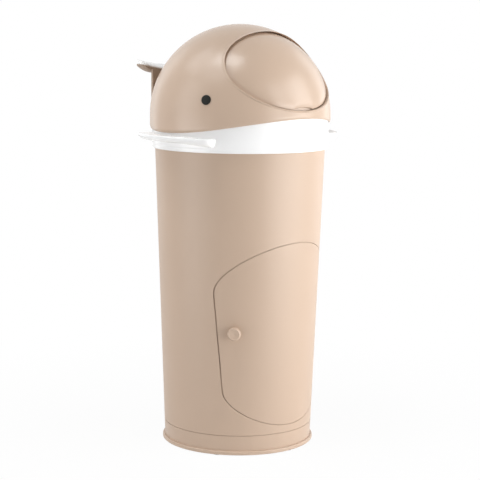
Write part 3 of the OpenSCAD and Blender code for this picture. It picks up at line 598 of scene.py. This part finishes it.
def makeLid(s):
    edge, wall = s["edge"], s["wall"]
    rows = [(k / s["rows"], edge, 0) for k in range(s["rows"])]
    rows += [(1, edge * a, edge * b) for a, b in quarter(s["edgeRows"])]
    rows += [(1, 0, s["rimDepth"]), (1, s["rimWall"], s["rimDepth"]), (1, s["rimWall"], wall)]
    rows += [(1 - k / s["rows"], s["rimWall"], wall) for k in range(1, s["rows"] + 1)]
    count = len(rows) - 1

    def place(u, v):
        fill, less, depth = rows[round(v * count)]
        return lidPoint(s, u % 1.0, fill, less, depth)

    bm = warpedGrid(s["around"], count, place)
    y, z = hood["pivotY"], hood["pivotZ"]
    for side in (-1, 1):
        near, back = side * s["plateX"], side * (s["plateX"] + s["plateThick"])
        addTo(bm, prismPart([(near, *corner) for corner in s["plate"]], (side * s["plateThick"], 0, 0)))
        addTo(bm, cylinderPart(s["hubRadius"], (near, y, z), (back, y, z)))
        addTo(bm, cylinderPart(s["hubSmall"], (near, y, z), (side * s["hubFar"], y, z)))
        cutAway(bm, cylinderPart(s["bore"], (side * (s["plateX"] - s["past"]), y, z),
                                 (side * (s["hubFar"] + s["past"]), y, z)))
    finishPiece("flipLid", bm, "lid", "glossPlastic", ["visor_lid"])


makeLid(lid)

# finger recess: a plate set back behind the lid's notch
grip = {
    "half": 29.0, "tall": 8.5, "middle": 576.5, "near": 6.6, "far": 9.0, "rows": 8, "around": 96,
    "squareness": 0.4,     # 1 is an ellipse, 0 a rectangle
}


def makeGrip(s):
    rows = [(k / s["rows"], s["near"]) for k in range(s["rows"] + 1)]
    rows += [(1 - k / s["rows"], s["far"]) for k in range(s["rows"] + 1)]
    count = len(rows) - 1

    def place(u, v):
        fill, depth = rows[round(v * count)]
        across, up = math.cos(2 * math.pi * u), math.sin(2 * math.pi * u)
        x = s["half"] * fill * math.copysign(abs(across) ** s["squareness"], across)
        z = s["middle"] + s["tall"] * fill * math.copysign(abs(up) ** s["squareness"], up)
        return ballPoint(x, z, hood["radius"] - depth, hood["centre"])

    bm = warpedGrid(s["around"], count, place)
    finishPiece("fingerRecess", bm, "lid", "glossPlastic", ["lid_grip"])


makeGrip(grip)

# collar: the white band with a fin on each side, the section as radius and height
collar = {
    "section": [
        (147.0, 501.85), (147.7, 503.0), (147.9, 508.1), (148.5, 509.4), (149.1, 521.3), (149.1, 561.0),
        (148.1, 563.0), (146.6, 563.0), (146.6, 515.2), (132.0, 515.2), (132.0, 512.7), (146.1, 512.7),
        (144.5, 501.85)],
    "ease": 0.8, "easeRows": 3, "around": 240,
    "slot": [(-10.5, 134.0, 524.0), (10.5, 175.0, 564.0)],
    "housing": [(-17.6, 118.0, 511.0), (17.6, 146.1, 517.0)],
}

# share 0 is a fin's front end and 1 its back end; a slope has the shares where it begins and ends
fin = {
    "reach": 177.5, "half": 31.0, "corner": 14.0, "root": 147.6,
    "top": 528.4, "frontDip": 3.2, "frontSlope": (0.0, 0.4), "rootDip": 1.5, "rootSpan": 30.0, "rim": 2.2,
    "thick": 11.0, "endThick": 4.5, "endPower": 4,
    "frontReach": 12.0, "backReach": 26.0, "reachSlope": (0.25, 0.9),
    "columns": 120, "rows": 14, "rowPower": 2.0,
}


# an outline with each corner replaced by a short arc
def easedLoop(points, ease, steps):
    loop = []
    for i, here in enumerate(points):
        before, after = Vector(points[i - 1]), Vector(points[(i + 1) % len(points)])
        here = Vector(here)
        cut = min(ease, build["cornerShare"] * min((before - here).length, (after - here).length))
        start, end = here + (before - here).normalized() * cut, here + (after - here).normalized() * cut
        for k in range(steps + 1):
            t = k / steps
            loop.append(start * (1 - t) ** 2 + here * 2 * t * (1 - t) + end * t ** 2)
    return loop


# outline of a fin about +X, 0 to 1 from one root to the other
def finOutline(s, share):
    inner = s["reach"] - s["corner"]
    bend = math.asin(s["corner"] / inner)
    half = math.radians(s["half"])
    side = inner * math.cos(bend) - s["root"]
    turn = math.pi / 2 + bend
    lengths = (side, s["corner"] * turn, 2 * s["reach"] * (half - bend), s["corner"] * turn, side)
    way = share * sum(lengths)
    for k, length in enumerate(lengths):
        if way <= length or k == 4:
            break
        way -= length
    if k in (0, 4):
        radius = s["root"] + (way if k == 0 else max(0.0, length - way))
        angle = -half if k == 0 else half
        return Vector((radius * math.cos(angle), radius * math.sin(angle), 0))
    if k == 2:
        angle = -(half - bend) + way / s["reach"]
        return Vector((s["reach"] * math.cos(angle), s["reach"] * math.sin(angle), 0))
    sign = -1 if k == 1 else 1
    base = sign * (half - bend)
    part = way / s["corner"]
    angle = base + (-(turn - part) if k == 1 else part)
    return Vector((inner * math.cos(base) + s["corner"] * math.cos(angle),
                   inner * math.sin(base) + s["corner"] * math.sin(angle), 0))


def easeBetween(value, start, end):
    part = min(max((value - start) / (end - start), 0.0), 1.0)
    return part * part * (3 - 2 * part)


# upper and lower surface at a distance from the fin's edge
def finHeights(s, share, depth):
    dip = s["frontDip"] * (1 - easeBetween(share, *s["frontSlope"]))
    roof = s["top"] - dip - s["rootDip"] * depth / s["rootSpan"]
    thick = s["thick"] + s["endThick"] * (2 * share - 1) ** s["endPower"]
    reach = s["frontReach"] + (s["backReach"] - s["frontReach"]) * easeBetween(share, *s["reachSlope"])
    near, under = min(depth / s["rim"], 1.0), min(depth / reach, 1.0)
    top = roof - s["rim"] * (1 - math.sqrt(1 - (1 - near) ** 2))
    return top, roof - s["rim"] - (thick - s["rim"]) * math.sqrt(1 - (1 - under) ** 2)


def makeFin(s, side):
    half = math.radians(s["half"])
    rows = s["rows"]

    def place(u, v):
        rim = finOutline(s, u)
        angle = half * (2 * u - 1)
        root = Vector((s["root"] * math.cos(angle), s["root"] * math.sin(angle), 0))
        row = round(v * (2 * rows + 1))
        share = row / rows if row <= rows else (2 * rows + 1 - row) / rows
        spot = rim.lerp(root, share ** s["rowPower"])
        heights = finHeights(s, u, (spot - rim).length)
        return Vector((spot.x * side, spot.y, heights[0] if row <= rows else heights[1]))

    return warpedGrid(s["columns"], 2 * rows + 1, place)


def makeCollar(s):
    loop = easedLoop(s["section"], s["ease"], s["easeRows"])
    loop.append(loop[0])
    count = len(loop) - 1

    def place(u, v):
        return turnedPoint(u, *loop[round(v * count)])

    bm = warpedGrid(s["around"], count, place)
    cutAway(bm, boxPart(*s["slot"]))
    cutAway(bm, boxPart(*s["housing"]))
    for side in (-1, 1):
        addTo(bm, makeFin(fin, side))
    finishPiece("finnedCollar", bm, "head", "whitePlastic", ["collar"])


makeCollar(collar)

# eyes: round caps over the lid's pins
eye = {"radius": 8.0, "rise": 1.4, "sink": 3.5, "ease": 1.0, "sides": 96}


def makeEyes(s):
    bm = bmesh.new()
    centre = Vector((0, 0, hood["centre"]))
    up = hood["pivotZ"] - hood["centre"]
    out = math.sqrt(hood["radius"] ** 2 - hood["pivotY"] ** 2 - up ** 2)
    for side in (-1, 1):
        way = Vector((side * out, hood["pivotY"], up)).normalized()
        cap = cylinderPart(s["radius"], centre + way * (hood["radius"] - s["sink"]),
                           centre + way * (hood["radius"] + s["rise"]), s["sides"])
        bevelRims(cap, s["ease"])
        addTo(bm, cap)
    finishPiece("eyeCaps", bm, "head", "blackCap", ["eye_caps"])


makeEyes(eye)

# knob: a turned head with a bevelled rim, the section as its radius and its height above the door
knob = {
    "turn": 46.8, "height": 207.5, "radius": 132.8, "around": 96, "ease": 0.5, "easeRows": 2,
    "section": [
        (2.05, 0.35), (7.5, 0.35), (6.5, 3.0), (8.6, 4.8), (10.9, 6.4), (10.9, 9.6), (8.9, 12.3), (7.6, 11.7),
        (0.02, 11.4), (0.02, 8.5), (2.05, 8.5)],
}


def makeKnob(s):
    loop = easedLoop(s["section"], s["ease"], s["easeRows"])
    loop.append(loop[0])
    count = len(loop) - 1

    def place(u, v):
        return turnedPoint(u, *loop[round(v * count)])

    bm = warpedGrid(s["around"], count, place)
    turn = Matrix.Rotation(math.radians(-s["turn"]), 4, "Z")
    lift = Matrix.Translation((0, -s["radius"], s["height"]))
    tip = Matrix.Rotation(math.radians(90), 4, "X")
    bmesh.ops.transform(bm, matrix=turn @ lift @ tip, verts=bm.verts)
    finishPiece("doorKnob", bm, "door", "satinPlastic", ["door_knob"])


makeKnob(knob)

# tail: a boat-shaped blade with raised tips, a thick white top and an upright plate below it, on a hinged arm
tail = {
    "front": 160.0, "depth": 30.0, "half": 78.0, "straight": 57.0, "notch": 9.0,
    "endRound": 16.0, "endDepth": 14.0, "endTurns": (-60, 90, 240), "endSteps": 16, "lobe": 0.45, "lobeDip": 1.0,
    "ease": 7.0, "easeRows": 5,
    "keel": 622.5, "tipRise": 16.0, "tipPower": 6.0, "rim": 638.8, "rimDip": 11.0, "top": 647.5, "topDip": 9.0,
    "crownEdge": 2.6, "crownRun": 24.0, "crownGap": 0.15, "crownInset": 0.3, "crownLow": 0.4, "crownHigh": 2.6,
    "hullEdge": 1.5, "hullHigh": 0.6, "edgeRows": 5, "mostLift": 0.45,
    "columns": 200, "rows": 10, "spineAlong": 0.72, "spineDeep": 0.45,
}
plate = {"half": 57.0, "low": 548.0, "thick": 5.0, "corner": 12.0, "cornerRows": 10, "ease": 1.2, "sink": 1.2,
         "columns": 8}
arm = {
    "y": 133.0, "z": 550.0, "half": 9.0, "below": 4.0, "above": 6.0, "start": 10.2, "overlap": 2.0,
    "hubRadius": 8.5, "hubInner": 4.1, "cheekEnd": 11.0, "bore": 3.06, "past": 1.0,
}


def arcPoints(x, y, rx, ry, start, end, steps):
    turns = [math.radians(start + (end - start) * k / steps) for k in range(steps + 1)]
    return [(x + rx * math.cos(t), y + ry * math.sin(t)) for t in turns]


# the blade seen from above, as evenly spaced points
def bladeOutline(s):
    front, back, half, ends = s["front"], s["front"] + s["depth"], s["half"], s["endRound"]
    deep, (first, middle, last) = s["endDepth"], s["endTurns"]
    points = [(-s["straight"], front), (s["straight"], front)]
    points += arcPoints(half - ends, front + deep, ends, deep, first, middle, s["endSteps"])
    lobe = back - s["lobeDip"]
    points += [(half * s["lobe"], lobe), (0, back - s["notch"]), (-half * s["lobe"], lobe)]
    points += arcPoints(ends - half, front + deep, ends, deep, middle, last, s["endSteps"])
    loop = easedLoop(points, s["ease"], s["easeRows"])
    loop.append(loop[0])
    steps = [(b - a).length for a, b in zip(loop, loop[1:])]
    total, even, at, gone = sum(steps), [], 0, 0.0
    for k in range(s["columns"]):
        way = total * k / s["columns"]
        while gone + steps[at] < way:
            gone += steps[at]
            at += 1
        even.append(loop[at].lerp(loop[at + 1], (way - gone) / steps[at]))
    return even


def keelHeight(s, x, y):
    return s["keel"] + s["tipRise"] * (abs(x) / s["half"]) ** s["tipPower"]


def rimHeight(s, x, y):
    return s["rim"] - s["rimDip"] * (1 - (x / s["half"]) ** 2)


# the white top rises from a thin front edge
def topHeight(s, x, y):
    high = s["top"] - s["topDip"] * (1 - (x / s["half"]) ** 2)
    edge = rimHeight(s, x, y) + s["crownEdge"]
    part = min(max((y - s["front"]) / s["crownRun"], 0.0), 1.0)
    return edge + (high - edge) * math.sin(math.pi / 2 * part)


# closed block under the blade's outline, between two heights: its underside has an eased edge, or is a hull
def makeBlock(s, low, high, easeLow, easeHigh, inset=0.0, hull=False):
    rim = bladeOutline(s)
    middle = s["front"] + s["depth"] * s["spineDeep"]
    if hull:
        rows = [(1 - inn, 0, 0, 0, down) for inn, down in quarter(2 * s["rows"])]
    else:
        rows = [(k / s["rows"], easeLow, 0, 0, 0) for k in range(s["rows"])]
        rows += [(1, easeLow * a, easeLow * b, 0, 0) for a, b in quarter(s["edgeRows"])]
    rows += [(1, easeHigh * a, easeHigh * b, 1, 0) for a, b in reversed(quarter(s["edgeRows"]))]
    rows += [(1 - k / s["rows"], easeHigh, 0, 1, 0) for k in range(1, s["rows"] + 1)]
    count = len(rows) - 1

    def place(u, v):
        fill, less, lift, upper, bowl = rows[round(v * count)]
        edge = rim[round(u * s["columns"]) % s["columns"]]
        spine = Vector((edge.x * s["spineAlong"], middle))
        way = (spine - edge).normalized() * (less + inset)
        spot = spine.lerp(edge + way, fill)
        floor, roof = low(s, spot.x, spot.y), high(s, spot.x, spot.y)
        lift = min(lift, (roof - floor) * s["mostLift"]) + (roof - floor - s["hullEdge"]) * bowl
        return Vector((spot.x, spot.y, roof - lift if upper else floor + lift))

    return warpedGrid(s["columns"], count, place)


# upright plate under the blade, up to just below its rim
def makePlate(s):
    low, half, corner = s["low"], s["half"], s["corner"]
    across = [half * k / s["columns"] for k in range(1, s["columns"] + 1)]
    side = [(x, rimHeight(tail, x, 0) - s["sink"]) for x in across] + [(half, low + corner)]
    side += arcPoints(half - corner, low + corner, corner, corner, 0, -90, s["cornerRows"])[1:]
    outline = side + [(-x, z) for x, z in reversed(side)]
    bm = prismPart([(x, tail["front"] + s["thick"], z) for x, z in outline], (0, -s["thick"], 0))
    bevelRims(bm, s["ease"])
    return bm


def makeTail(s, a):
    bm = makeBlock(s, keelHeight, rimHeight, 0, s["hullHigh"], hull=True)
    addTo(bm, makePlate(plate))
    wide, y, low, high = a["half"], a["y"], a["z"] - a["below"], a["z"] + a["above"]
    addTo(bm, boxPart((-wide, y + a["start"], low), (wide, s["front"] + a["overlap"], high)))
    cheek = boxPart((-wide, y, low), (-a["hubInner"], y + a["cheekEnd"], high))
    hub = cylinderPart(a["hubRadius"], (-wide, y, a["z"]), (-a["hubInner"], y, a["z"]))
    start, end = (-wide - a["past"], y, a["z"]), (-a["hubInner"] + a["past"], y, a["z"])
    for held in (cheek, hub):
        cutAway(held, cylinderPart(a["bore"], start, end))
        addTo(bm, held)
    # the tail is drawn in the darker beige of painted shade
    finishPiece("tailFluke", bm, "tail", "tailPaintedShade", ["tail_lever"])
    crown = makeBlock(s, lambda t, x, y: rimHeight(t, x, y) + t["crownGap"], topHeight, s["crownLow"], s["crownHigh"],
                      s["crownInset"])
    finishPiece("flukeTop", crown, "tail", "whitePlastic", ["fluke_liner"])


makeTail(tail, arm)
print("pieces made")
